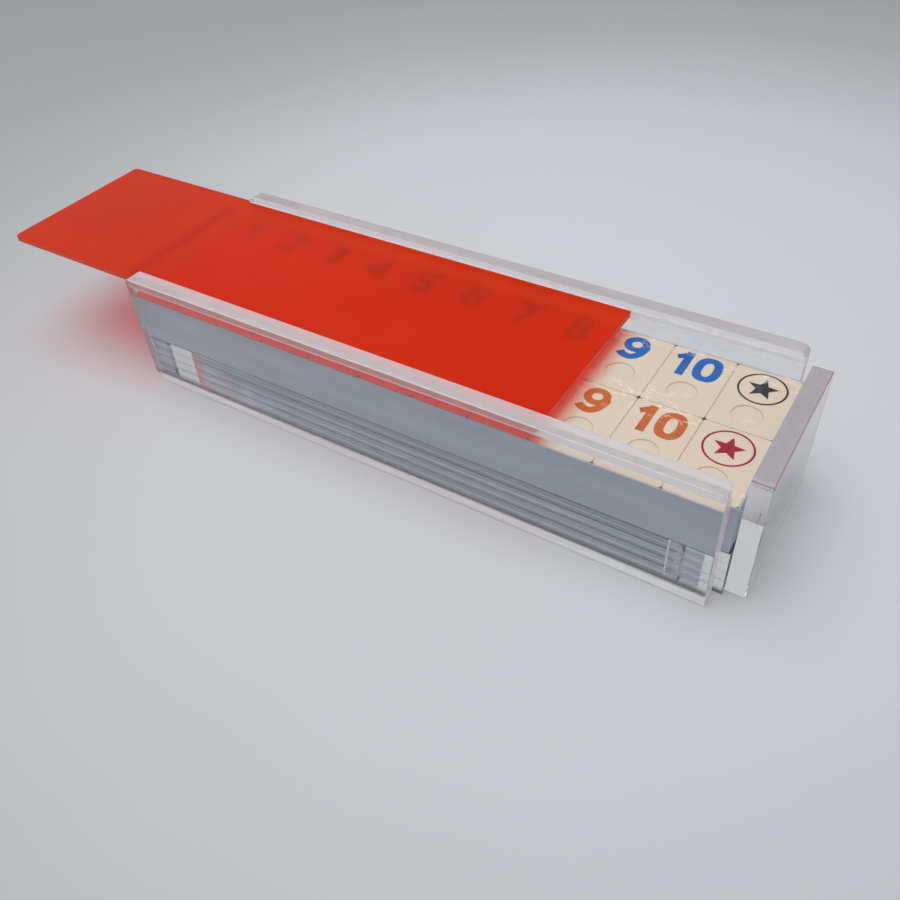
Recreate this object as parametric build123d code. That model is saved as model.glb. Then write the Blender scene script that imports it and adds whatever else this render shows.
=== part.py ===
from build123d import *
import os

# Clear acrylic case with a sliding lid, packed with a full set of rummy tiles and four tile
# racks.  X runs along the case, Y across it, and it stands on Z = 0.  The origin is the middle
# of its footprint.  The lid slides along X in a groove in each side wall and leaves the case at
# its low X end, where the end plate is lower.  All sizes are in millimetres.

# ---- tiles ----
TILE_WIDTH = 25.9
TILE_LENGTH = 37.5
TILE_THICK = 4.4
TILE_CORNER = 1.6
TILE_GAP = 0.1
TILE_COLUMNS = 11
TILE_ROWS = 2
TILE_LAYERS = 5
TILES_LEFT_OUT = 4
DIMPLE_RADIUS = 5.9
DIMPLE_DEPTH = 0.3
NUMBER_DIMPLE_OFFSET = 7.8
JOKER_DIMPLE_OFFSET = 9.7

# ---- wrapped tile pack ----
SLEEVE_SHEET = 0.5
SLEEVE_PLAY = 0.05
FILM_THICK = 0.1
FILM_MARGIN = 0.2

# ---- racks ----
RACK_COUNT = 4
RACK_THICK = 5.05
RACK_END_PLAY = 1.8
RACK_SIDE_PLAY = 0.3
RACK_SHIFT = 1.5
SLOT_COUNT = 3
SLOT_PITCH = 27.0
SLOT_WIDTH = 4.8
SLOT_LENGTH = 240.6

# ---- case ----
WALL_THICK = 7.8
END_THICK = 7.8
FLOOR_THICK = 2.6
END_WIDTH = 70.4
CORNER_GAP = 3.75
SIDE_PLAY = 0.3
END_PLAY = 1.0
HEADROOM = 5.8
GROOVE_DEPTH = 2.8
RIM_ABOVE_GROOVE = 2.6
WALL_CORNER = 3.0
END_CORNER = 2.5
EDGE_BEVEL = 0.3
LOW_END_DROP = 0.4

# ---- lid ----
LID_THICK = 3.0
LID_LIFT = 0.1
LID_PLAY_ABOVE = 0.4
LID_SIDE_PLAY = 0.3
LID_STOP_GAP = 0.2
LID_CORNER = 2.2
LID_BEVEL = 0.25
LID_DRAWN_BACK = 74.7

# ---- plan sizes that follow ----
COLUMN_PITCH = TILE_WIDTH + TILE_GAP
ROW_PITCH = TILE_LENGTH + TILE_GAP
BLOCK_LENGTH = TILE_COLUMNS * COLUMN_PITCH - TILE_GAP
BLOCK_WIDTH = TILE_ROWS * ROW_PITCH - TILE_GAP
SLEEVE_LENGTH = BLOCK_LENGTH + 2 * (SLEEVE_PLAY + SLEEVE_SHEET)
SLEEVE_WIDTH = BLOCK_WIDTH + 2 * (SLEEVE_PLAY + SLEEVE_SHEET)
INNER_WIDTH = SLEEVE_WIDTH + 2 * SIDE_PLAY
INNER_LENGTH = SLEEVE_LENGTH + 2 * END_PLAY
WALL_LENGTH = INNER_LENGTH - 2 * CORNER_GAP
RACK_LENGTH = INNER_LENGTH - 2 * RACK_END_PLAY
RACK_WIDTH = INNER_WIDTH - 2 * RACK_SIDE_PLAY

# ---- heights that follow ----
SLEEVE_BASE = FLOOR_THICK + RACK_COUNT * RACK_THICK
TILE_BASE = SLEEVE_BASE + SLEEVE_SHEET
TILE_TOP = TILE_BASE + TILE_LAYERS * TILE_THICK
FILM_TOP = TILE_TOP + FILM_THICK
GROOVE_BASE = FILM_TOP + HEADROOM
LID_BASE = GROOVE_BASE + LID_LIFT
GROOVE_TOP = LID_BASE + LID_THICK + LID_PLAY_ABOVE
WALL_HEIGHT = GROOVE_TOP + RIM_ABOVE_GROOVE
LOW_END_HEIGHT = GROOVE_BASE - LOW_END_DROP

# ---- lid sizes that follow ----
LID_WIDTH = INNER_WIDTH + 2 * (GROOVE_DEPTH - LID_SIDE_PLAY)
LID_LENGTH = INNER_LENGTH - LID_STOP_GAP + END_THICK
LID_END = INNER_LENGTH / 2 - LID_STOP_GAP - LID_DRAWN_BACK

LOW = (Align.CENTER, Align.CENTER, Align.MIN)


def save(shape, node):
    """Write one node to its own STEP file."""
    export_step(shape, f"parts/{node}.step")


def block(length, width, height, base):
    """A box centred on the origin in plan, standing at the height base."""
    return Pos(0, 0, base) * Box(length, width, height, align=LOW)


def long_edges(solid, axis, group):
    """The straight edges along axis in the highest or lowest group along Z."""
    return solid.edges().filter_by(axis).group_by(Axis.Z)[group]


def side_wall(side):
    """One clear side wall: a groove for the lid near its top, and rounded upper end corners."""
    outer = INNER_WIDTH / 2 + WALL_THICK
    plate = Pos(0, side * (outer - WALL_THICK / 2), 0) * Box(WALL_LENGTH, WALL_THICK, WALL_HEIGHT, align=LOW)
    plate = fillet(long_edges(plate, Axis.Y, -1), WALL_CORNER)
    plate = chamfer(plate.faces().sort_by(Axis.Y)[-1 if side > 0 else 0].edges(), EDGE_BEVEL)
    groove_height = GROOVE_TOP - GROOVE_BASE
    groove = block(WALL_LENGTH + 2 * WALL_THICK, INNER_WIDTH + 2 * GROOVE_DEPTH, groove_height, GROOVE_BASE)
    return plate - groove


def end_plate(side, height):
    """One clear end plate, narrower than the space between the walls so its corners stay open."""
    middle = side * (INNER_LENGTH + END_THICK) / 2
    plate = Pos(middle, 0, 0) * Box(END_THICK, END_WIDTH, height, align=LOW)
    plate = fillet(long_edges(plate, Axis.X, -1), END_CORNER)
    return chamfer(plate.faces().sort_by(Axis.X)[-1 if side > 0 else 0].edges(), EDGE_BEVEL)


def floor_plate():
    """The clear floor, glued between the walls and the end plates."""
    return block(INNER_LENGTH, INNER_WIDTH, FLOOR_THICK, 0)


def lid():
    """The tinted lid, drawn back far enough to bare the last tiles."""
    plate = block(LID_LENGTH, LID_WIDTH, LID_THICK, LID_BASE)
    plate = fillet(plate.edges().filter_by(Axis.Z), LID_CORNER)
    faces = plate.faces().sort_by(Axis.Z)
    plate = chamfer(faces[-1].edges() + faces[0].edges(), LID_BEVEL)
    return Pos(LID_END - LID_LENGTH / 2, 0, 0) * plate


def tile_blank():
    """A square-cornered tile on Z = 0."""
    return Box(TILE_WIDTH, TILE_LENGTH, TILE_THICK, align=LOW)


def face_tile(offset):
    """A tile of the top layer: round corners, and the round dimple, offset below its middle."""
    tile = fillet(tile_blank().edges().filter_by(Axis.Z), TILE_CORNER)
    dimple = Cylinder(DIMPLE_RADIUS, DIMPLE_DEPTH, align=(Align.CENTER, Align.CENTER, Align.MAX))
    return tile - Pos(0, -offset, TILE_THICK) * dimple


def buried_tile():
    """A tile of the layers below, with its corners cut plain because nothing shows them."""
    return chamfer(tile_blank().edges().filter_by(Axis.Z), TILE_CORNER / 2)


def tile_place(column, row, layer):
    """Where a tile stands; layer 0 is the top layer and row 0 the near row."""
    x = (column - (TILE_COLUMNS - 1) / 2) * COLUMN_PITCH
    y = (row - (TILE_ROWS - 1) / 2) * ROW_PITCH
    return Pos(x, y, TILE_TOP - (layer + 1) * TILE_THICK)


def face_name(column, row):
    """The name of a top tile: its colour, and its number or its joker."""
    colour = ("orange", "blue")[row] if column < TILE_COLUMNS - 1 else ("red", "dark")[row]
    return f"tile_{colour}_{column + 1:02d}" if column < TILE_COLUMNS - 1 else f"tile_joker_{colour}"


def top_tiles():
    """The top layer, one node for each tile."""
    number, joker = face_tile(NUMBER_DIMPLE_OFFSET), face_tile(JOKER_DIMPLE_OFFSET)
    tiles = [number] * (TILE_COLUMNS - 1) + [joker]
    spots = [(column, row) for row in range(TILE_ROWS) for column in range(TILE_COLUMNS)]
    return {face_name(column, row): tile_place(column, row, 0) * tiles[column] for column, row in spots}


def tile_layer(layer):
    """A buried layer as one group of separate tiles; the lowest one isn't full."""
    spots = [(column, row) for column in range(TILE_COLUMNS) for row in range(TILE_ROWS)]
    if layer == TILE_LAYERS - 1:
        spots = spots[TILES_LEFT_OUT:]
    tile = buried_tile()
    return Compound(children=[tile_place(column, row, layer) * tile for column, row in spots])


def tile_sleeve():
    """The thin tray that holds the block of tiles; its rim is level with the tile tops."""
    outer = block(SLEEVE_LENGTH, SLEEVE_WIDTH, TILE_TOP - SLEEVE_BASE, SLEEVE_BASE)
    room = block(SLEEVE_LENGTH - 2 * SLEEVE_SHEET, SLEEVE_WIDTH - 2 * SLEEVE_SHEET, TILE_TOP, TILE_BASE)
    return outer - room


def wrap_film():
    """The top face of the clear film shrunk round the tray and its tiles."""
    return block(SLEEVE_LENGTH - 2 * FILM_MARGIN, SLEEVE_WIDTH - 2 * FILM_MARGIN, FILM_THICK, TILE_TOP)


def rack(level):
    """One flat tile rack: a clear plate with slots cut through it that hold the tiles on edge."""
    plate = Box(RACK_LENGTH, RACK_WIDTH, RACK_THICK, align=LOW)
    slot = Box(SLOT_LENGTH, SLOT_WIDTH, 3 * RACK_THICK)
    for number in range(SLOT_COUNT):
        plate -= Pos(0, (number - (SLOT_COUNT - 1) / 2) * SLOT_PITCH, 0) * slot
    return Pos(RACK_SHIFT, 0, FLOOR_THICK + level * RACK_THICK) * plate


def nodes():
    """Every node's name and shape."""
    made = {
        "front_wall": side_wall(-1),
        "back_wall": side_wall(1),
        "right_end_plate": end_plate(1, WALL_HEIGHT),
        "left_end_plate": end_plate(-1, LOW_END_HEIGHT),
        "floor_plate": floor_plate(),
        "sliding_lid": lid(),
        "tile_sleeve": tile_sleeve(),
        "wrap_film": wrap_film(),
    }
    made.update(top_tiles())
    for layer in range(1, TILE_LAYERS):
        made[f"tile_layer_{layer + 1}"] = tile_layer(layer)
    for level in range(RACK_COUNT):
        made[f"tile_rack_{level + 1}"] = rack(level)
    return made


os.makedirs("parts", exist_ok=True)
for name, shape in nodes().items():
    save(shape, name)
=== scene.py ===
"""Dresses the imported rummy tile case: finishes, tile prints, shrink film, stage, lamps and camera."""

import logging
import math
from dataclasses import dataclass, field
from enum import Enum

import bmesh
import bpy
import numpy as np
from mathutils import Matrix, Vector
from mathutils.geometry import delaunay_2d_cdt


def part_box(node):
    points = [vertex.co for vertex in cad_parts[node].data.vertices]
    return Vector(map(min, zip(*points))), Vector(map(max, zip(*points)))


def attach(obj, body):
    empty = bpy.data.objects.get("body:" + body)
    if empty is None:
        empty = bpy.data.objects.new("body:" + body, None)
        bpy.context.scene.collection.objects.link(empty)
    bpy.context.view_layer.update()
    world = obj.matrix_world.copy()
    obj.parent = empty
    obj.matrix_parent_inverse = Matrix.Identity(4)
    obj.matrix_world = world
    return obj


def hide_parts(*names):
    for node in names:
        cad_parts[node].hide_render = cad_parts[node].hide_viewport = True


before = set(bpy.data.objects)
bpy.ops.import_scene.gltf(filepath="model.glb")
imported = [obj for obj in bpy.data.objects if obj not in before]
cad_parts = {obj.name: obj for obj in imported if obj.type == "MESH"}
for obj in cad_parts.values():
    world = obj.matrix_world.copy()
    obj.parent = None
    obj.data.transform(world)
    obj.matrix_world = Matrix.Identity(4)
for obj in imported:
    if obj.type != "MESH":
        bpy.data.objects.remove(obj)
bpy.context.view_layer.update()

MM = 0.001
CLEAR_GAP = 0.00002
SAME_POINT = 0.000001
DIM_LIGHT = 0.3
LOG = logging.getLogger("tile_case")

Colour = tuple[float, float, float]
Point = tuple[float, float]


def shade(red: int, green: int, blue: int) -> Colour:
    """Turns a colour written as 0 to 255 into linear light.

    Args:
        red: The red part, 0 to 255.
        green: The green part, 0 to 255.
        blue: The blue part, 0 to 255.

    Returns:
        The same colour as three linear values.
    """
    parts = (c / 255 for c in (red, green, blue))
    return tuple(c / 12.92 if c <= 0.04045 else ((c + 0.055) / 1.055) ** 2.4 for c in parts)


class Body(Enum):
    """The moving bodies that pieces ride on."""

    CASE = "case"
    LID = "lid"


class Cut(Enum):
    """Which side faces of a clear sheet are left as the saw cut them."""

    NONE = -1
    ENDS = 0
    SIDES = 1


class Maths:
    """A number inside a node tree, which writes Math nodes as it is worked with."""

    def __init__(self, graph: "Graph", socket: bpy.types.NodeSocket) -> None:
        """Wraps a socket.

        Args:
            graph: The tree that the socket is in.
            socket: The output socket that gives the number.
        """
        self.graph = graph
        self.socket = socket

    def step(self, operation: str, *values: "Maths | float") -> "Maths":
        """Adds one Math node.

        Args:
            operation: The Math node's operation.
            values: Its inputs, in order.

        Returns:
            The node's result.
        """
        node = self.graph.node("ShaderNodeMath", {"operation": operation}, dict(enumerate(values)))
        return Maths(self.graph, node.outputs[0])

    def __add__(self, other: "Maths | float") -> "Maths":
        """Sum."""
        return self.step("ADD", self, other)

    __radd__ = __add__

    def __sub__(self, other: "Maths | float") -> "Maths":
        """Difference."""
        return self.step("SUBTRACT", self, other)

    def __rsub__(self, other: float) -> "Maths":
        """Difference, with this value taken away."""
        return self.step("SUBTRACT", other, self)

    def __mul__(self, other: "Maths | float") -> "Maths":
        """Product."""
        return self.step("MULTIPLY", self, other)

    __rmul__ = __mul__

    def __truediv__(self, other: "Maths | float") -> "Maths":
        """Quotient."""
        return self.step("DIVIDE", self, other)

    def __pow__(self, other: float) -> "Maths":
        """Power."""
        return self.step("POWER", self, other)

    def __abs__(self) -> "Maths":
        """Size without its sign."""
        return self.step("ABSOLUTE", self)

    def __lt__(self, other: float) -> "Maths":
        """1 where the value is below the other."""
        return self.step("LESS_THAN", self, other)

    def __gt__(self, other: float) -> "Maths":
        """1 where the value is above the other."""
        return self.step("GREATER_THAN", self, other)

    def most(self, other: "Maths | float") -> "Maths":
        """The larger of the two."""
        return self.step("MAXIMUM", self, other)

    def least(self, other: "Maths | float") -> "Maths":
        """The smaller of the two."""
        return self.step("MINIMUM", self, other)

    def wrapped(self, low: float, high: float) -> "Maths":
        """The value folded into low to high, as on a repeated tile."""
        return self.step("WRAP", self, high, low)

    def rise(self, low: float, high: float) -> "Maths":
        """A smooth step from 0 at low to 1 at high.

        Args:
            low: Where the step starts.
            high: Where it ends; below low, it falls instead.

        Returns:
            The stepped value.
        """
        ends = {1: low, 2: high, 3: 0.0, 4: 1.0} if low < high else {1: high, 2: low, 3: 1.0, 4: 0.0}
        node = self.graph.node("ShaderNodeMapRange", {"interpolation_type": "SMOOTHSTEP"}, {0: self, **ends})
        return Maths(self.graph, node.outputs[0])


Value = Maths | bpy.types.NodeSocket | float | Colour | tuple


class Graph:
    """A node tree that is filled one node at a time."""

    def __init__(self, tree: bpy.types.NodeTree) -> None:
        """Takes the tree to fill."""
        self.tree = tree

    def node(self, kind: str, settings: dict | None = None, sockets: dict | None = None) -> bpy.types.Node:
        """Adds any node.

        Args:
            kind: The node's type.
            settings: Its properties, set first; "stops" gives a ramp's places and colours.
            sockets: Values or links by the input's name or number.

        Returns:
            The new node.
        """
        node = self.tree.nodes.new(kind)
        for name, value in (settings or {}).items():
            if name == "stops":
                self._stops(node.color_ramp, value)
            else:
                setattr(node, name, value)
        for key, value in (sockets or {}).items():
            self._feed(node.inputs[key], value)
        return node

    def _stops(self, ramp: bpy.types.ColorRamp, stops: list[tuple[float, Colour]]) -> None:
        """Sets a ramp's stops.

        Args:
            ramp: The ramp to fill.
            stops: Places and colours, in order.
        """
        while len(ramp.elements) < len(stops):
            ramp.elements.new(0.5)
        for element, (place, colour) in zip(ramp.elements, stops):
            element.position = place
            element.color = (*colour, 1.0)

    def _feed(self, socket: bpy.types.NodeSocket, value: Value) -> None:
        """Links or sets one input.

        Args:
            socket: The input.
            value: A wrapped number, an output socket, or a plain value.
        """
        if isinstance(value, Maths):
            value = value.socket
        if isinstance(value, bpy.types.NodeSocket):
            self.tree.links.new(value, socket)
        elif socket.type == "RGBA" and not isinstance(value, float):
            socket.default_value = (*value[:3], 1.0)
        else:
            socket.default_value = value

    def value(self, socket: bpy.types.NodeSocket) -> Maths:
        """Wraps a socket as a number."""
        return Maths(self, socket)

    def axes(self, vector: bpy.types.NodeSocket) -> tuple[Maths, Maths, Maths]:
        """Splits a vector into its three numbers."""
        node = self.node("ShaderNodeSeparateXYZ", sockets={0: vector})
        return tuple(Maths(self, s) for s in node.outputs)

    def facing(self) -> tuple[Maths, Maths, Maths]:
        """The way that the surface faces, as three numbers."""
        return self.axes(self.node("ShaderNodeTexCoord").outputs["Normal"])

    def blend(self, share: Value, first: Value, second: Value) -> bpy.types.NodeSocket:
        """Mixes two colours.

        Args:
            share: How much of the second, 0 to 1.
            first: The colour at 0.
            second: The colour at 1.

        Returns:
            The mixed colour.
        """
        node = self.node("ShaderNodeMix", {"data_type": "RGBA"}, {0: share, 6: first, 7: second})
        return node.outputs[2]

    def noise(self, place: Value, scale: float, detail: float = 2.0, rough: float = 0.5) -> Maths:
        """Soft random mottling.

        Args:
            place: The coordinates it is read at.
            scale: Its fineness, per metre.
            detail: How many finer layers it has.
            rough: How strong those are.

        Returns:
            A number about 0.5.
        """
        given = {"Vector": place, "Scale": scale, "Detail": detail, "Roughness": rough}
        return Maths(self, self.node("ShaderNodeTexNoise", {"normalize": True}, given).outputs[0])

    def stretched(self, place: Value, scale: Colour) -> bpy.types.NodeSocket:
        """Coordinates scaled apart along each axis."""
        return self.node("ShaderNodeMapping", {"vector_type": "POINT"}, {"Vector": place, "Scale": scale}).outputs[0]

    def shader(self, kind: str, sockets: dict) -> bpy.types.NodeSocket:
        """Adds a shader node, such as BsdfPrincipled, and gives its output."""
        return self.node(f"ShaderNode{kind}", sockets=sockets).outputs[0]

    def blend_shaders(self, share: Value, first: Value, second: Value) -> bpy.types.NodeSocket:
        """Mixes two shaders; share is how much of the second."""
        return self.node("ShaderNodeMixShader", sockets={0: share, 1: first, 2: second}).outputs[0]


@dataclass(frozen=True)
class Finish:
    """A surface finish that builds one material."""

    name: str

    def material(self) -> bpy.types.Material:
        """Builds the material.

        Returns:
            The new material.
        """
        made = bpy.data.materials.new(self.name)
        made.use_nodes = True
        made.node_tree.nodes.clear()
        graph = Graph(made.node_tree)
        place = graph.node("ShaderNodeTexCoord").outputs["Object"]
        graph.node("ShaderNodeOutputMaterial", sockets={"Surface": self.surface(graph, place)})
        return made

    def surface(self, graph: Graph, place: bpy.types.NodeSocket) -> bpy.types.NodeSocket:
        """Writes the shader nodes.

        Args:
            graph: The material's tree.
            place: Object coordinates.

        Returns:
            The shader to show.
        """
        raise NotImplementedError

    @staticmethod
    def let_lamps_through(graph: Graph, shader: Value, tint: Colour, dim: Value = 0.0) -> bpy.types.NodeSocket:
        """Lets lamp light pass a clear plate in its colour, so that what it covers is lit.

        Args:
            graph: The material's tree.
            shader: The plate's own shader.
            tint: What passes of the light.
            dim: Where much less of it passes.

        Returns:
            The mixed shader.
        """
        weak = tuple(c * DIM_LIGHT for c in tint)
        clear, dull = (graph.shader("BsdfTransparent", {0: c}) for c in (tint, weak))
        clear = graph.blend_shaders(dim, clear, dull)
        ray = graph.node("ShaderNodeLightPath").outputs["Is Shadow Ray"]
        return graph.blend_shaders(ray, shader, clear)


@dataclass(frozen=True)
class ClearAcrylic(Finish):
    """Polished clear sheet with fine scratches, a matt underside, sanded rims and cut faces, and painted light and
    shade on some of its matt faces.

    Heights and lengths are in metres from the case's own origin, and shares run from 0 to 1.

    Attributes:
        tint: The plastic's colour.
        passes: What it lets through of the lamps' light.
        underside_depth: How far up the matt underside shows.
        cut: Which side faces are sawn.
        cut_beyond: How far from the middle across the sawn faces begin.
        cut_spans: The stretches along the case where they are matt.
        layers: The lowest plate's base and each plate's thickness in a stack, or a thickness of 0 for none; they place
            painted shade lines at each plate's edges and a painted highlight line across it.
        foot: Below this the matt faces are as pale as the underside.
        rim_from: Above this the level faces are sanded.
        dim_foot: Below this little lamp light passes.
        milled: A groove's half length, half width, base and top.
        grain: How fine the sanding streaks are along each axis.
    """

    tint: Colour = (0.965, 0.972, 0.975)
    passes: Colour = (0.88, 0.885, 0.89)
    bends: float = 1.49
    roughness: float = 0.012
    scratches: float = 0.03
    matt_roughness: float = 0.7
    underside: Colour = shade(238, 234, 236)
    underside_depth: float = 0.00006
    cut: Cut = Cut.NONE
    # The pink in this sawn colour is painted red light, carried from the lid.
    cut_shade: Colour = shade(230, 214, 216)
    cut_share: float = 0.42
    cut_beyond: float = 0.0
    cut_spans: tuple[Point, ...] = ((-1.0, 1.0),)
    cut_fade: float = 0.004
    layers: Point = (0.0, 0.0)
    foot: float = 0.0
    rim_from: float = 1.0
    rim_shade: Colour = shade(188, 181, 181)
    rim_share: float = 0.4
    # Painted highlight: the rim bevels take this light matt colour, drawn as bright lines along the rims.
    bevel_light_colour: Colour = shade(240, 226, 226)
    bevel_light_share: float = 0.6
    rim_roughness: float = 0.15
    dim_foot: float = 0.0
    milled: tuple[float, float, float, float] = (0.0, 0.0, 0.0, 0.0)
    milled_share: float = 0.42
    milled_shade: Colour = shade(226, 222, 224)
    grain: Colour = (16.0, 1500.0, 1500.0)

    def surface(self, graph: Graph, place: bpy.types.NodeSocket) -> bpy.types.NodeSocket:
        """Writes clear plastic with hairline scratches, matt where it was sawn or sanded, with painted light and shade
        in some of the matt colours.

        Args:
            graph: The material's tree.
            place: Object coordinates.

        Returns:
            The shader to show.
        """
        long_way = graph.noise(graph.stretched(place, (18.0, 340.0, 340.0)), 1.0, 4.0, 0.7)
        cross_way = graph.noise(graph.stretched(place, (420.0, 90.0, 60.0)), 1.0, 3.0, 0.6)
        hairs = long_way.rise(0.66, 0.74).most(cross_way.rise(0.70, 0.78))
        bump = graph.node("ShaderNodeBump", sockets={"Strength": self.scratches, "Distance": 0.00002, "Height": hairs})
        facing = graph.facing()
        along, across, height = graph.axes(place)
        rim = facing[2].rise(0.5, 0.65) * (height > self.rim_from)
        # Painted highlight: mask of the bevels along the rims, which take a painted light colour.
        bevel_light_mask = rim * (facing[2] < 0.85) * (abs(facing[1 - self.cut.value]) > 0.5)
        plate = graph.shader("BsdfPrincipled", {
            "Base Color": self.tint, "Roughness": hairs * 0.06 + rim * self.rim_roughness + self.roughness,
            "IOR": self.bends, "Transmission Weight": 1.0, "Normal": bump.outputs[0],
        })
        under = height < self.underside_depth
        matt_share = (under * 0.97).most(rim * self.rim_share).most(bevel_light_mask * self.bevel_light_share)
        half_x, half_y, low, high = self.milled
        milled = (abs(along) < half_x) * (abs(across) < half_y) * (height > low) * (height < high)
        matt_share = matt_share.most(milled * self.milled_share)
        if self.cut is not Cut.NONE:
            reach = sum(along.rise(start, start + self.cut_fade) * (along < end) for start, end in self.cut_spans)
            sawn = (abs(across) > self.cut_beyond) * reach * self.cut_share
            base, thick = self.layers
            if thick > 0.0:
                # Painted shade and highlight: in each plate of the stack the veil thins near the top and bottom edges,
                # as dark lines, and thickens along a line a little below the middle, as a light line.
                depth = ((height - base) / thick).wrapped(0.0, 1.0)
                edge, ridge = abs(depth - 0.5).rise(0.36, 0.46), abs(depth - 0.42).rise(0.12, 0.04)
                sawn = sawn * (1.0 - edge * 0.6 + ridge * 0.5)
            matt_share = matt_share.most(abs(facing[self.cut.value]).rise(0.8, 0.95) * sawn)
        streak = graph.noise(graph.stretched(place, self.grain), 1.0, 3.0)
        sanded = graph.blend(streak.rise(0.3, 0.7), self.cut_shade, tuple(c * 0.78 for c in self.cut_shade))
        pale = under.most(height < self.foot)
        top = graph.blend(bevel_light_mask, self.rim_shade, self.bevel_light_colour)
        worked = graph.blend(milled, graph.blend(rim, sanded, top), self.milled_shade)
        lined = graph.blend(streak.rise(0.46, 0.62), self.underside, tuple(c * 0.8 for c in self.underside))
        colour = graph.blend(pale, worked, lined)
        matt = graph.shader("BsdfPrincipled", {"Base Color": colour, "Roughness": self.matt_roughness})
        dim = height < self.dim_foot
        return self.let_lamps_through(graph, graph.blend_shaders(matt_share, plate, matt), self.passes, dim)


@dataclass(frozen=True)
class TintedAcrylic(Finish):
    """Orange-red sheet with a cloudy top, whose cut edges gather light."""

    clear: Colour = (0.97, 0.048, 0.002)
    body: Colour = (0.80, 0.047, 0.003)
    deep: Colour = (0.73, 0.039, 0.002)
    edge: Colour = shade(244, 112, 84)
    passes: Colour = (0.72, 0.04, 0.0)
    haze: float = 0.62
    haze_from: float = 0.0528
    blur: float = 0.22
    bends: float = 1.2

    def surface(self, graph: Graph, place: bpy.types.NodeSocket) -> bpy.types.NodeSocket:
        """Writes tinted, half clouded plastic with lighter cut edges.

        Args:
            graph: The material's tree.
            place: Object coordinates.

        Returns:
            The shader to show.
        """
        cloud = graph.noise(place, 14.0, 3.0)
        _, _, upward = graph.facing()
        _, _, height = graph.axes(place)
        cut = abs(upward).rise(0.8, 0.4)
        colour = graph.blend(cut, graph.blend(cloud.rise(0.35, 0.65), self.body, self.deep), self.edge)
        smudge = graph.noise(place, 55.0, 4.0)
        top = graph.shader("BsdfPrincipled", {
            "Base Color": colour, "Roughness": smudge * 0.12 + 0.3, "Specular IOR Level": 0.08,
        })
        inner, outer = (graph.shader("BsdfTranslucent", {"Color": glow}) for glow in (self.body, self.edge))
        clouded = graph.blend_shaders(0.35, top, graph.blend_shaders(cut, inner, outer))
        clear = graph.shader("BsdfPrincipled", {
            "Base Color": self.clear, "Roughness": self.blur, "IOR": self.bends, "Transmission Weight": 1.0,
            "Specular IOR Level": 0.1,
        })
        share = ((height > self.haze_from) * self.haze).most(cut * 0.85)
        return self.let_lamps_through(graph, graph.blend_shaders(share, clear, clouded), self.passes)


@dataclass(frozen=True)
class IvoryPlastic(Finish):
    """Cream moulded tiles, with a faint line round each dimple and painted shade along the joints."""

    body: Colour = shade(216, 203, 186)
    mottle: Colour = shade(210, 196, 178)
    line: Colour = shade(182, 152, 118)
    pitch: Point = (0.026, 0.0376)
    dimple: float = 0.0059
    low: float = 0.0078
    joker_low: float = 0.0097
    joker_from: float = 0.117
    top_from: float = 0.0448

    def surface(self, graph: Graph, place: bpy.types.NodeSocket) -> bpy.types.NodeSocket:
        """Writes cream plastic that repeats its dimple line on every tile.

        Args:
            graph: The material's tree.
            place: Object coordinates.

        Returns:
            The shader to show.
        """
        along, across, height = graph.axes(place)
        half_x, half_y = self.pitch[0] / 2, self.pitch[1] / 2
        x = along.wrapped(-half_x, half_x)
        y = across.wrapped(0.0, self.pitch[1]) - half_y
        drop = (along > self.joker_from) * (self.joker_low - self.low) + self.low
        ring = abs((x * x + (y + drop) * (y + drop)) ** 0.5 - self.dimple).rise(0.00030, 0.00008)
        on_top = height > self.top_from
        # Painted shade: within half a millimetre of each tile's edge the colour darkens towards the line colour, as
        # shade in the joints between tiles.
        joint_shade = (half_x - abs(x)).least(half_y - abs(y)).rise(0.0005, 0.0001)
        cloud = graph.noise(place, 70.0, 3.0)
        plain = graph.blend(cloud, self.body, self.mottle)
        lined = graph.blend(ring * on_top * 0.34, plain, self.line)
        colour = graph.blend(joint_shade * 0.35, lined, self.line)
        fine = graph.noise(place, 1500.0, 2.0)
        bump = graph.node("ShaderNodeBump", sockets={"Strength": 0.05, "Distance": 0.00005, "Height": fine})
        return graph.shader("BsdfPrincipled", {
            "Base Color": colour, "Roughness": cloud * 0.12 + 0.34, "Normal": bump.outputs[0],
        })


@dataclass(frozen=True)
class PrintInk(Finish):
    """Print on a tile, a little uneven in its colour."""

    colour: Colour = shade(50, 100, 180)
    pooled: Colour = shade(50, 60, 140)

    def surface(self, graph: Graph, place: bpy.types.NodeSocket) -> bpy.types.NodeSocket:
        """Writes the print's colour with thin places.

        Args:
            graph: The material's tree.
            place: Object coordinates.

        Returns:
            The shader to show.
        """
        thin = graph.noise(place, 420.0, 3.0)
        pool = graph.noise(place, 90.0, 1.0).rise(0.5, 0.72) * 0.55
        paler = tuple(c * 0.92 + 0.03 for c in self.colour)
        laid = graph.blend(pool, self.colour, self.pooled)
        return graph.shader("BsdfPrincipled", {
            "Base Color": graph.blend(thin.rise(0.45, 0.8) * 0.5, laid, paler), "Roughness": thin * 0.1 + 0.4,
            "Specular IOR Level": 0.2,
        })


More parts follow.
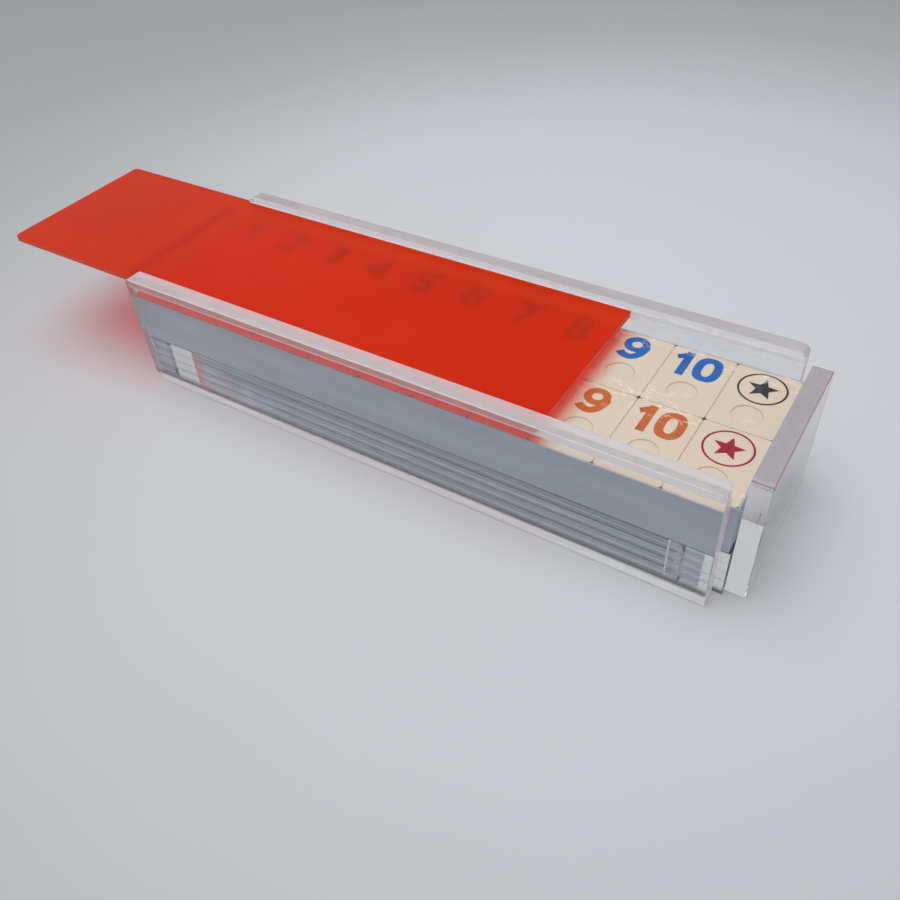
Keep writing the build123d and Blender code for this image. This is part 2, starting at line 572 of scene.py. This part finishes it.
@dataclass(frozen=True)
class TrayPlastic(Finish):
    """Thin blue-grey formed sheet under tight film, with a dark line of shade along its foot."""

    body: Colour = shade(178, 186, 198)
    dull: Colour = shade(168, 175, 188)
    foot: Colour = shade(74, 76, 84)
    foot_height: float = 0.02325

    def surface(self, graph: Graph, place: bpy.types.NodeSocket) -> bpy.types.NodeSocket:
        """Writes smooth blue-grey plastic with faint pulls along it.

        Args:
            graph: The material's tree.
            place: Object coordinates.

        Returns:
            The shader to show.
        """
        pulls = graph.noise(graph.stretched(place, (22.0, 60.0, 160.0)), 1.0, 3.0)
        bump = graph.node("ShaderNodeBump", sockets={"Strength": 0.12, "Distance": 0.0002, "Height": pulls})
        _, _, height = graph.axes(place)
        _, _, upward = graph.facing()
        foot = (height < self.foot_height) * (abs(upward) < 0.5)
        sheet = graph.blend(pulls.rise(0.3, 0.7), self.body, self.dull)
        return graph.shader("BsdfPrincipled", {
            "Base Color": graph.blend(foot * 0.85, sheet, self.foot),
            "Roughness": pulls * 0.14 + 0.26, "Normal": bump.outputs[0],
        })


@dataclass(frozen=True)
class ShrinkFilm(Finish):
    """Thin clear film that shows only its gloss and painted highlights, white lines along its creases."""

    bends: float = 1.34
    gloss: float = 0.10
    glint_paint_share: float = 0.42
    row_pitch: float = 0.0376
    passes: Colour = (0.97, 0.97, 0.97)

    def surface(self, graph: Graph, place: bpy.types.NodeSocket) -> bpy.types.NodeSocket:
        """Writes clear film with glossy reflections and painted glints, white lines along its creases.

        Args:
            graph: The material's tree.
            place: Object coordinates.

        Returns:
            The shader to show.
        """
        clear = graph.shader("BsdfTransparent", {0: (0.985, 0.985, 0.985)})
        shine = graph.shader("BsdfGlossy", {"Color": (1.0, 1.0, 1.0), "Roughness": self.gloss})
        angle = graph.value(graph.node("ShaderNodeFresnel", sockets={"IOR": self.bends}).outputs[0])
        film = graph.blend_shaders(angle, clear, shine)
        fold = graph.noise(graph.stretched(place, (60.0, 150.0, 60.0)), 1.0, 4.0, 0.55)
        _, across, _ = graph.axes(place)
        joint = abs(across.wrapped(0.0, self.row_pitch) - self.row_pitch / 2)
        near = joint.rise(0.006, 0.017) * 0.85 + 0.15
        # Painted highlight: white diffuse lines along the creases, more of them towards the joints between tile rows,
        # stand in for glints.
        crease = (abs(fold - 0.5)).rise(0.022, 0.0) * graph.noise(place, 75.0, 1.0).rise(0.44, 0.56) * near
        glint_paint = graph.shader("BsdfDiffuse", {"Color": (0.95, 0.95, 0.95)})
        return self.let_lamps_through(graph, graph.blend_shaders(crease * self.glint_paint_share, film, glint_paint), self.passes)


@dataclass(frozen=True)
class TableTop(Finish):
    """Smooth pale table, which keeps the object's shadow."""

    body: Colour = shade(203, 205, 208)
    middle: Point = (0.045, 0.115)
    light_falloff: tuple[Point, ...] = (
        (0.0, 0.99), (0.15, 0.96), (0.24, 0.91), (0.32, 0.80), (0.42, 0.66), (0.56, 0.57), (1.0, 0.54),
    )

    def surface(self, graph: Graph, place: bpy.types.NodeSocket) -> bpy.types.NodeSocket:
        """Writes a pale matt surface that darkens slowly away from the case, as a painted falloff of the light round
        it.

        Args:
            graph: The material's tree.
            place: Object coordinates.

        Returns:
            The shader to show.
        """
        x, y, _ = graph.axes(place)
        cloud = graph.noise(place, 6.0, 2.0)
        # Painted light: the colour falls off with distance from a point just behind the case, like a pool of light.
        away = ((x - self.middle[0]) ** 2.0 + (y - self.middle[1]) ** 2.0) ** 0.5 + (cloud - 0.5) * 0.04
        stops = [(far, tuple(c * part for c in self.body)) for far, part in self.light_falloff]
        painted_falloff = graph.node("ShaderNodeValToRGB", {"stops": stops}, {0: away}).outputs[0]
        return graph.shader("BsdfPrincipled", {"Base Color": painted_falloff, "Roughness": 0.55, "Specular IOR Level": 0.3})


def dress(material: bpy.types.Material, *nodes: str) -> None:
    """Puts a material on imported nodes, without touching their meshes.

    Args:
        material: The finish.
        nodes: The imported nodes' names.
    """
    for name in nodes:
        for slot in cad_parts[name].material_slots:
            slot.material = material
        LOG.info("dressed %s in %s", name, material.name)


def piece(name: str, mesh: bpy.types.Mesh, body: Body) -> bpy.types.Object:
    """Adds a finished mesh as a piece of the object.

    Args:
        name: The piece's name.
        mesh: Its mesh, in metres, in place.
        body: The body that it rides on.

    Returns:
        The new object.
    """
    made = bpy.data.objects.new(name, mesh)
    bpy.context.scene.collection.objects.link(made)
    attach(made, body.value)
    LOG.info("built %s with %d faces", name, len(mesh.polygons))
    return made


def clear_body(name: str, node: str, material: bpy.types.Material) -> bpy.types.Object:
    """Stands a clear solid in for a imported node, a hair smaller so that no two clear faces share a plane.

    Args:
        name: The piece's name.
        node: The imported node.
        material: Its finish.

    Returns:
        The new object.
    """
    build = bmesh.new()
    build.from_mesh(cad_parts[node].data)
    bmesh.ops.remove_doubles(build, verts=build.verts, dist=SAME_POINT)
    bmesh.ops.dissolve_limit(build, angle_limit=math.radians(0.5), verts=build.verts, edges=build.edges)
    build.normal_update()
    pull = {}
    for vert in build.verts:
        facing = {tuple(round(c, 3) for c in face.normal) for face in vert.link_faces}
        rows = np.array(sorted(facing))
        pull[vert] = Vector(np.linalg.lstsq(rows, np.ones(len(rows)), rcond=None)[0])
    for vert, way in pull.items():
        vert.co -= way * CLEAR_GAP
    for face in build.faces:
        face.smooth = True
    made = bpy.data.meshes.new(name)
    build.to_mesh(made)
    build.free()
    made.set_sharp_from_angle(angle=math.radians(25))
    made.materials.append(material)
    body = piece(name, made, Body.CASE)
    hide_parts(node)
    return body


@dataclass
class GeometryTree:
    """A geometry node tree with named inputs, baked to one plain mesh."""

    name: str
    graph: Graph = field(init=False)
    given: dict[str, object] = field(init=False, default_factory=dict)

    def __post_init__(self) -> None:
        """Makes the empty tree and its group nodes."""
        tree = bpy.data.node_groups.new(self.name, "GeometryNodeTree")
        tree.interface.new_socket("Geometry", in_out="OUTPUT", socket_type="NodeSocketGeometry")
        self.graph = Graph(tree)

    def inputs(self, **values: object) -> dict[str, bpy.types.NodeSocket]:
        """Args:
            values: Each input's value; a float, a vector, a whole number or a material.

        Returns:
            The group input's sockets by name.
        """
        kinds = {float: "NodeSocketFloat", int: "NodeSocketInt", tuple: "NodeSocketVector"}
        for name, value in values.items():
            kind = kinds.get(type(value), "NodeSocketMaterial")
            self.graph.tree.interface.new_socket(name, in_out="INPUT", socket_type=kind)
            self.given[name] = value
        entry = self.graph.node("NodeGroupInput")
        return {name: entry.outputs[name] for name in values}

    def joined(self, *parts: bpy.types.NodeSocket) -> bpy.types.NodeSocket:
        """Joins geometries, in order, into one."""
        join = self.graph.node("GeometryNodeJoinGeometry")
        for part in parts:
            self.graph.tree.links.new(part, join.inputs[0])
        return join.outputs[0]

    def finish(self, geometry: bpy.types.NodeSocket, material: bpy.types.NodeSocket) -> None:
        """Ends the tree in Realize Instances and Set Material.

        Args:
            geometry: What the tree made.
            material: The socket that names its material.
        """
        real = self.graph.node("GeometryNodeRealizeInstances", sockets={0: geometry})
        given = {"Geometry": real.outputs[0], "Material": material}
        set_on = self.graph.node("GeometryNodeSetMaterial", sockets=given)
        self.graph.node("NodeGroupOutput", sockets={0: set_on.outputs[0]})

    def bake(self) -> bpy.types.Mesh:
        """Runs the tree on an empty mesh.

        Returns:
            The result as a plain mesh.
        """
        carrier = bpy.data.objects.new(self.name, bpy.data.meshes.new(self.name))
        bpy.context.scene.collection.objects.link(carrier)
        modifier = carrier.modifiers.new(self.name, "NODES")
        modifier.node_group = self.graph.tree
        for item in self.graph.tree.interface.items_tree:
            if item.in_out == "INPUT":
                modifier[item.identifier] = self.given[item.name]
        graph = bpy.context.evaluated_depsgraph_get()
        mesh = bpy.data.meshes.new_from_object(carrier.evaluated_get(graph), depsgraph=graph)
        carrier.modifiers.remove(modifier)
        bpy.data.objects.remove(carrier)
        return mesh


@dataclass
class AcrylicCase:
    """The cemented clear case: two grooved walls, two end plates and the floor."""

    walls: tuple[str, ...] = ("front_wall", "back_wall")
    ends: tuple[str, ...] = ("right_end_plate", "left_end_plate")
    floors: tuple[str, ...] = ("floor_plate",)
    # Painted light: the pink of the walls' sawn ends is the lid's red light painted into their colour.
    wall_finish: ClearAcrylic = ClearAcrylic(
        "wall_acrylic", cut=Cut.ENDS, cut_shade=shade(228, 198, 200), rim_from=0.0505, dim_foot=0.0035,
        milled=(1.0, 0.0413, 0.0511, 0.0549),
    )
    # Painted light: the red bevel colour is a painted line of the lid's red light carried along each plate, and the
    # pink of its rim and sawn faces is painted red light too.
    end_finish: ClearAcrylic = ClearAcrylic(
        "end_acrylic", underside_depth=-1.0, dim_foot=0.0035, cut=Cut.SIDES, cut_share=0.12, rim_from=0.0505,
        rim_shade=shade(190, 176, 181), bevel_light_colour=shade(176, 92, 106), bevel_light_share=0.8,
        grain=(1500.0, 16.0, 1500.0),
    )
    # Painted shade: the floor's sawn sides are a dark matt grey standing in for the shade in the narrow gap between
    # the walls and the racks; their lowest 0.8 mm stays as pale as the underside.
    floor_finish: ClearAcrylic = ClearAcrylic(
        "floor_acrylic", underside_depth=-1.0, cut=Cut.SIDES, cut_shade=shade(130, 131, 137), cut_share=0.92,
        foot=0.0008,
    )

    def build(self) -> None:
        """Builds the walls, the end plates and the floor sheet."""
        dressed = (
            (self.walls, self.wall_finish), (self.ends, self.end_finish), (self.floors, self.floor_finish),
        )
        for plates, finish in dressed:
            material = finish.material()
            for plate in plates:
                clear_body(f"clear_{plate}", plate, material)


@dataclass
class RackStack:
    """The four clear tile racks under the tray."""

    count: int = 4
    # Partly sawn finish, partly painted light: the pale blue-grey veil on the racks' outer sides, kept to the listed
    # stretches, lightens the stack as light carried along the plates would.
    finish: ClearAcrylic = ClearAcrylic(
        "rack_plastic", tint=(0.93, 0.94, 0.95), passes=(0.9, 0.91, 0.92), roughness=0.03, scratches=0.2,
        underside_depth=-1.0, cut=Cut.SIDES, cut_beyond=0.0375, cut_spans=((-0.15, -0.1305), (-0.115, 0.1285)),
        cut_shade=shade(208, 215, 231), cut_share=0.5, layers=(0.0026, 0.00505),
    )

    def build(self) -> None:
        """Builds the racks."""
        material = self.finish.material()
        for number in range(1, self.count + 1):
            clear_body(f"clear_rack_{number}", f"tile_rack_{number}", material)


@dataclass
class SlidingLid:
    """The tinted lid in the grooves."""

    finish: TintedAcrylic = TintedAcrylic("tinted_sheet")

    def build(self) -> None:
        """Dresses the lid."""
        dress(self.finish.material(), "sliding_lid")


def arc(centre: Point, radii: Point, start: float, end: float, steps: int = 24) -> list[Point]:
    """Points along part of an ellipse.

    Args:
        centre: The ellipse's centre.
        radii: Its half width and half height.
        start: The first angle in degrees, counted from +X towards +Y.
        end: The last angle in degrees.
        steps: How many runs.

    Returns:
        The points, in order.
    """
    turns = np.radians(np.linspace(start, end, steps + 1))
    return [(centre[0] + radii[0] * math.cos(t), centre[1] + radii[1] * math.sin(t)) for t in turns]


def oval(centre: Point, radii: Point, power: float = 2.0, steps: int = 48) -> list[Point]:
    """Points round a rounded oval.

    Args:
        centre: Its centre.
        radii: Its half width and half height.
        power: 2 gives an ellipse, and more a squarer form.
        steps: How many runs.

    Returns:
        The points, in order, without the first again.
    """
    turns = np.linspace(0, 2 * math.pi, steps, endpoint=False)
    squash = 2 / power
    return [
        (
            centre[0] + radii[0] * math.copysign(abs(math.cos(t)) ** squash, math.cos(t)),
            centre[1] + radii[1] * math.copysign(abs(math.sin(t)) ** squash, math.sin(t)),
        )
        for t in turns
    ]


def ribbon(line: list[Point], width: float) -> list[list[Point]]:
    """A stroke of even width along a line, as one four-sided face for each run.

    Args:
        line: The stroke's middle line.
        width: Its width.

    Returns:
        The faces.
    """
    middle = np.array(line)
    along = np.gradient(middle, axis=0)
    along /= np.linalg.norm(along, axis=1)[:, None]
    aside = np.stack([-along[:, 1], along[:, 0]], axis=1) * width / 2
    left, right = middle + aside, middle - aside
    return [[tuple(left[i]), tuple(right[i]), tuple(right[i + 1]), tuple(left[i + 1])] for i in range(len(line) - 1)]


def band(outer: list[Point], inner: list[Point]) -> list[list[Point]]:
    """The area between two closed lines that have as many points.

    Args:
        outer: The outer line.
        inner: The inner line.

    Returns:
        The faces.
    """
    count = len(outer)
    return [[outer[i], outer[(i + 1) % count], inner[(i + 1) % count], inner[i]] for i in range(count)]


def moved(faces: list[list[Point]], by: Point) -> list[list[Point]]:
    """Faces moved across the tile."""
    return [[(x + by[0], y + by[1]) for x, y in face] for face in faces]


def turned(faces: list[list[Point]], centre: Point) -> list[list[Point]]:
    """Faces turned half round about a point."""
    return [[(2 * centre[0] - x, 2 * centre[1] - y) for x, y in face] for face in faces]


@dataclass
class Numerals:
    """Bold numerals 1 to 10, in millimetres from a tile's middle, each as flat faces."""

    stroke: float = 3.3
    base: float = 1.4
    top: float = 16.9
    ink: float = 0.03

    def faces(self, number: int) -> list[list[Point]]:
        """The faces of one number.

        Args:
            number: 1 to 10.

        Returns:
            The faces, which may overlap.
        """
        if number == 10:
            return moved(self._one(), (-6.6, 0.0)) + moved(self._nought(), (3.95, 0.0))
        drawn = {
            1: self._one, 2: self._two, 3: self._three, 4: self._four, 5: self._five,
            6: self._six, 7: self._seven, 8: self._eight, 9: self._nine,
        }
        return drawn[number]()

    def _bar(self, left: float, right: float, low: float, high: float) -> list[Point]:
        """A level or upright bar."""
        return [(left, low), (right, low), (right, high), (left, high)]

    def _nought(self) -> list[list[Point]]:
        """A squarish oval ring."""
        middle = (self.base + self.top) / 2
        tall = (self.top - self.base) / 2
        outer = oval((0.0, middle), (5.5, tall), 2.5)
        return band(outer, oval((0.0, middle), (2.05, tall - 3.2), 2.3))

    def _one(self) -> list[list[Point]]:
        """A stem with a slanted flag."""
        stem = self._bar(-0.45, 2.85, self.base, self.top)
        flag = [(0.75, self.top), (-3.65, 13.3), (-2.25, 11.0), (-0.45, 12.2), (1.0, 13.4), (2.0, self.top)]
        return [stem, flag]

    def _two(self) -> list[list[Point]]:
        """A hook, a slant and a foot."""
        hook = arc((-0.1, 12.0), (3.7, 3.25), 168, -42)
        slant = [hook[-1], (0.9, 7.4), (-1.6, 5.0), (-3.6, 2.4)]
        return ribbon(hook + slant[1:], self.stroke) + [self._bar(-5.4, 5.4, self.base, 4.5)]

    def _three(self) -> list[list[Point]]:
        """Two open bowls that meet in the middle."""
        upper = arc((-0.2, 12.55), (3.3, 2.7), 152, -90)
        lower = arc((-0.2, 6.15), (3.75, 3.1), 90, -152)
        return ribbon(upper, self.stroke) + ribbon(lower, self.stroke) + [self._bar(-1.9, 0.0, 7.9, 10.9)]

    def _four(self) -> list[list[Point]]:
        """A stem, a cross bar and a slant."""
        slant = [(0.9, self.top), (-6.0, 7.3), (-6.0, 4.6), (-3.0, 7.2), (1.2, 13.0), (1.2, self.top)]
        return [self._bar(1.0, 4.4, self.base, self.top), self._bar(-6.0, 6.2, 4.6, 7.6), slant]

    def _five(self) -> list[list[Point]]:
        """A top bar, a short stem and a bowl."""
        bowl = arc((-0.4, 6.5), (4.0, 3.45), 125, -150)
        stem = [(-4.0, self.top), (-5.0, 8.6), (-2.2, 8.0), (-1.2, self.top)]
        return ribbon(bowl, self.stroke) + [self._bar(-3.9, 4.9, 13.7, self.top), stem]

    def _six(self) -> list[list[Point]]:
        """A nine turned half round."""
        return turned(self._nine(), (-0.6, (self.base + self.top) / 2))

    def _seven(self) -> list[list[Point]]:
        """A top bar and a slant."""
        slant = [(1.6, self.top), (1.6, 13.7), (-3.5, self.base), (0.2, self.base), (5.5, 14.2), (5.5, self.top)]
        return [self._bar(-5.4, 5.5, 13.6, self.top), slant]

    def _eight(self) -> list[list[Point]]:
        """A small ring on a larger one."""
        upper = band(oval((0.0, 12.8), (4.8, 4.1)), oval((0.0, 12.8), (1.75, 1.35)))
        lower = band(oval((0.0, 5.95), (5.5, 4.55)), oval((0.0, 5.95), (2.3, 1.65)))
        return upper + lower

    def _nine(self) -> list[list[Point]]:
        """A ring with a tail that curls in under it."""
        ring = band(oval((-0.85, 11.75), (5.35, 5.15)), oval((-0.85, 11.75), (2.2, 2.1)))
        side = arc((-1.25, 11.7), (4.6, 8.65), 0, -90)
        tail = arc((-1.25, 9.2), (6.0, 6.15), -90, -138, 10)
        return ring + ribbon(side + tail[1:], self.stroke + 0.1)

    def mesh(self, number: int, middle: Point, height: float) -> bpy.types.Mesh:
        """Joins a number's faces into one thin raised print.

        Args:
            number: 1 to 10.
            middle: The tile's middle, in metres.
            height: The face that the print lies on, in metres.

        Returns:
            The closed mesh, in place.
        """
        faces = self.faces(number)
        corners = [Vector(p) for face in faces for p in face]
        starts = np.cumsum([0] + [len(face) for face in faces])
        loops = [list(range(starts[i], starts[i + 1])) for i in range(len(faces))]
        flat = delaunay_2d_cdt(corners, [], loops, 1, 1e-5, True)
        kept = [face for face, source in zip(flat[2], flat[5]) if source]
        build = bmesh.new()
        dots = [build.verts.new((middle[0] + p.x * MM, middle[1] + p.y * MM, height)) for p in flat[0]]
        for face in kept:
            build.faces.new([dots[i] for i in face])
        bmesh.ops.delete(build, geom=[v for v in build.verts if not v.link_faces], context="VERTS")
        bmesh.ops.dissolve_limit(build, angle_limit=0.02, verts=build.verts, edges=build.edges)
        raised = bmesh.ops.extrude_face_region(build, geom=build.faces[:])
        lifted = [g for g in raised["geom"] if isinstance(g, bmesh.types.BMVert)]
        bmesh.ops.translate(build, verts=lifted, vec=(0.0, 0.0, self.ink * MM))
        bmesh.ops.recalc_face_normals(build, faces=build.faces)
        made = bpy.data.meshes.new(f"number_{number}")
        build.to_mesh(made)
        build.free()
        return made


@dataclass
class JokerMark:
    """A plain star in a ring, printed on the joker tiles."""

    middle: Point = (0.25, 7.8)
    ring: float = 9.5
    ring_stroke: float = 0.8
    star: float = 6.2
    star_inner: float = 2.7
    points: int = 5
    ink: float = 0.03

    def mesh(self, tile: Point, height: float, material: bpy.types.Material) -> bpy.types.Mesh:
        """Makes ring and star with geometry nodes.

        Args:
            tile: The tile's middle, in metres.
            height: The face that the print lies on, in metres.
            material: The ink.

        Returns:
            The mesh, in place.
        """
        tree = GeometryTree("joker_mark")
        at = tree.inputs(
            **{
                "Ring Radius": (self.ring - self.ring_stroke / 2) * MM,
                "Ring Stroke": self.ring_stroke * MM,
                "Star Radius": self.star * MM,
                "Star Inner Radius": self.star_inner * MM,
                "Star Points": self.points,
                "Ink": self.ink * MM,
                "Middle": (tile[0] + self.middle[0] * MM, tile[1] + self.middle[1] * MM, height),
                "Finish": material,
            }
        )
        add = tree.graph.node
        circle = add(
            "GeometryNodeCurvePrimitiveCircle", {"mode": "RADIUS"},
            {"Resolution": 96, "Radius": at["Ring Radius"]},
        )
        edge = add(
            "GeometryNodeCurvePrimitiveQuadrilateral", {"mode": "RECTANGLE"},
            {0: at["Ring Stroke"], 1: at["Ink"]},
        )
        ring = add("GeometryNodeCurveToMesh", sockets={0: circle.outputs[0], 1: edge.outputs[0], "Fill Caps": True})
        spikes = {0: at["Star Points"], 1: at["Star Inner Radius"], 2: at["Star Radius"]}
        outline = add("GeometryNodeCurveStar", sockets=spikes)
        flat = add("GeometryNodeFillCurve", sockets={0: outline.outputs[0]})
        raised = add(
            "GeometryNodeExtrudeMesh", {"mode": "FACES"},
            {"Mesh": flat.outputs[0], "Offset Scale": at["Ink"], "Individual": False},
        )
        under = add("GeometryNodeFlipFaces", sockets={0: flat.outputs[0]})
        both = tree.joined(raised.outputs[0], under.outputs[0])
        solid = add("GeometryNodeMergeByDistance", sockets={0: both, "Distance": SAME_POINT})
        upright = add("GeometryNodeTransform", sockets={0: solid.outputs[0], "Rotation": (0.0, 0.0, math.pi / 2)})
        half_up = (0.0, 0.0, self.ink * MM / 2)
        lifted = add("GeometryNodeTransform", sockets={0: ring.outputs[0], "Translation": half_up})
        mark = tree.joined(upright.outputs[0], lifted.outputs[0])
        placed = add("GeometryNodeTransform", sockets={0: mark, "Translation": at["Middle"]})
        tree.finish(placed.outputs[0], at["Finish"])
        return tree.bake()


@dataclass
class TilePack:
    """The wrapped tray of tiles: tiles, their prints, the tray and the shrink film."""

    columns: int = 11
    layers: int = 5
    crease: float = 0.00006
    numerals: Numerals = field(default_factory=Numerals)
    joker: JokerMark = field(default_factory=JokerMark)
    rows: dict[str, tuple[str, str]] = field(
        default_factory=lambda: {"blue": ("tile_joker_dark", "dark"), "orange": ("tile_joker_red", "red")}
    )

    def build(self) -> None:
        """Dresses the tiles and tray and builds prints and film."""
        self.tiles()
        self.prints()
        dress(TrayPlastic("tray_plastic").material(), "tile_sleeve")
        self.film()

    def tiles(self) -> None:
        """Dresses every tile."""
        ivory = IvoryPlastic("cream_tile").material()
        faced = [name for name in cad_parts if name.startswith(("tile_blue", "tile_orange", "tile_joker"))]
        dress(ivory, *faced, *(f"tile_layer_{n}" for n in range(2, self.layers + 1)))

    def prints(self) -> None:
        """Builds the numbers and joker marks of both rows."""
        inks = {
            "blue": PrintInk("blue_ink", shade(28, 104, 180), shade(58, 72, 148)).material(),
            "orange": PrintInk("orange_ink", shade(195, 104, 40), shade(180, 80, 40)).material(),
            "dark": PrintInk("dark_ink", shade(50, 52, 64), shade(38, 38, 50)).material(),
            "red": PrintInk("crimson_ink", shade(160, 18, 44), shade(136, 12, 44)).material(),
        }
        for row, (joker_node, joker_ink) in self.rows.items():
            for number in range(1, self.columns):
                middle, height = self.place(f"tile_{row}_{number:02d}")
                mesh = self.numerals.mesh(number, middle, height)
                mesh.materials.append(inks[row])
                piece(f"print_{row}_{number:02d}", mesh, Body.CASE)
            middle, height = self.place(joker_node)
            mesh = self.joker.mesh(middle, height, inks[joker_ink])
            piece(f"print_joker_{joker_ink}", mesh, Body.CASE)

    @staticmethod
    def place(node: str) -> tuple[Point, float]:
        """The middle and top of a tile.

        Args:
            node: The tile's node.

        Returns:
            Its middle across and along, and its top, in metres.
        """
        low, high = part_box(node)
        return ((low.x + high.x) / 2, (low.y + high.y) / 2), high.z

    def film(self) -> None:
        """Builds the crinkled film over the tiles."""
        low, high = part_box("wrap_film")
        tree = GeometryTree("shrink_film")
        at = tree.inputs(
            **{
                "Length": high.x - low.x,
                "Width": high.y - low.y,
                "Crease Height": self.crease,
                "Crease Fineness": 70.0,
                "Middle": (0.0, 0.0, low.z + self.crease),
                "Finish": ShrinkFilm("shrink_wrap").material(),
            }
        )
        add = tree.graph.node
        grid = add(
            "GeometryNodeMeshGrid",
            sockets={"Size X": at["Length"], "Size Y": at["Width"], "Vertices X": 420, "Vertices Y": 120},
        )
        spot = add("GeometryNodeInputPosition").outputs[0]
        creases = add("ShaderNodeVectorMath", {"operation": "MULTIPLY"}, {0: spot, 1: (1.0, 1.6, 1.0)}).outputs[0]
        noise = add(
            "ShaderNodeTexNoise", {"normalize": True},
            {"Vector": creases, "Scale": at["Crease Fineness"], "Detail": 3.0, "Roughness": 0.55},
        )
        ridge = (abs(tree.graph.value(noise.outputs[0]) - 0.5)).rise(0.10, 0.0)
        lift = add("ShaderNodeCombineXYZ", sockets={"Z": ridge * tree.graph.value(at["Crease Height"])})
        bent = add("GeometryNodeSetPosition", sockets={"Geometry": grid.outputs[0], "Offset": lift.outputs[0]})
        placed = add("GeometryNodeTransform", sockets={0: bent.outputs[0], "Translation": at["Middle"]})
        smooth = add("GeometryNodeSetShadeSmooth", sockets={0: placed.outputs[0]})
        tree.finish(smooth.outputs[0], at["Finish"])
        film = piece("shrink_film", tree.bake(), Body.CASE)
        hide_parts("wrap_film")


@dataclass
class Studio:
    """Table, soft light and the camera."""

    focal: float = 35.468
    spot: Colour = (0.18082, -0.25256, 0.26776)
    right: Colour = (0.84295623, 0.53479712, -0.0584537)
    down: Colour = (0.33157918, -0.60203327, -0.72636849)
    ahead: Colour = (-0.42365085, 0.59291482, -0.68481529)
    table_half: float = 3.0
    table_gap: float = 0.0001
    sky: Colour = (0.87, 0.89, 0.93)
    sky_strength: float = 0.515
    backdrop: Colour = shade(205, 208, 212)
    bounces: int = 24

    def build(self) -> None:
        """Builds the table, the world, the lamps and the camera."""
        self.table()
        self.world()
        self.lamp("soft_top", (-0.28, -0.08, 1.33), 1.3, 13.2)
        self.lamp("soft_side", (0.9, -0.6, 1.0), 1.2, 2.5)
        self.camera()
        scene = bpy.context.scene
        scene.view_settings.view_transform = "Standard"
        for kind in ("max_bounces", "transmission_bounces", "glossy_bounces", "transparent_max_bounces"):
            setattr(scene.cycles, kind, self.bounces)

    def table(self) -> None:
        """Builds the table top."""
        half, low = self.table_half, -self.table_gap
        mesh = bpy.data.meshes.new("table")
        corners = [(-half, -half, low), (half, -half, low), (half, half, low), (-half, half, low)]
        mesh.from_pydata(corners, [], [(0, 1, 2, 3)])
        mesh.materials.append(TableTop("table_top").material())
        table = bpy.data.objects.new("table", mesh)
        bpy.context.scene.collection.objects.link(table)

    def world(self) -> None:
        """Builds an even pale world."""
        world = bpy.data.worlds.new("studio")
        bpy.context.scene.world = world
        world.use_nodes = True
        world.node_tree.nodes.clear()
        graph = Graph(world.node_tree)
        rays = graph.node("ShaderNodeLightPath")
        seen = graph.value(rays.outputs["Is Camera Ray"]).most(graph.value(rays.outputs["Is Glossy Ray"]))
        seen = seen.most(graph.value(rays.outputs["Is Transmission Ray"]))
        lit = graph.shader("Background", {0: self.sky, 1: self.sky_strength})
        shown = graph.shader("Background", {0: self.backdrop, 1: 1.0})
        graph.node("ShaderNodeOutputWorld", sockets={0: graph.blend_shaders(seen, lit, shown)})

    def lamp(self, name: str, place: Colour, size: float, power: float) -> None:
        """Adds a square soft lamp aimed at the case.

        Args:
            name: The lamp's name.
            place: Where it hangs, in metres.
            size: Its side, in metres.
            power: Its power, in watts.
        """
        light = bpy.data.lights.new(name, "AREA")
        light.size = size
        light.energy = power
        made = bpy.data.objects.new(name, light)
        bpy.context.scene.collection.objects.link(made)
        made.location = place
        made.visible_transmission = False
        made.rotation_euler = (-Vector(place)).to_track_quat("-Z", "Y").to_euler()

    def camera(self) -> None:
        """Adds the camera."""
        lens = bpy.data.cameras.new("camera")
        lens.lens = self.focal
        lens.sensor_width = 36.0
        lens.clip_start = 0.01
        made = bpy.data.objects.new("camera", lens)
        bpy.context.scene.collection.objects.link(made)
        columns = (self.right, [-c for c in self.down], [-c for c in self.ahead], self.spot)
        rows = [[column[i] for column in columns] for i in range(3)]
        made.matrix_world = Matrix((*rows, (0.0, 0.0, 0.0, 1.0)))
        bpy.context.scene.camera = made


def main() -> None:
    """Builds every part of the scene in order."""
    logging.basicConfig(level=logging.INFO, format="%(message)s")
    AcrylicCase().build()
    RackStack().build()
    SlidingLid().build()
    TilePack().build()
    Studio().build()


if __name__ == "__main__":
    main()
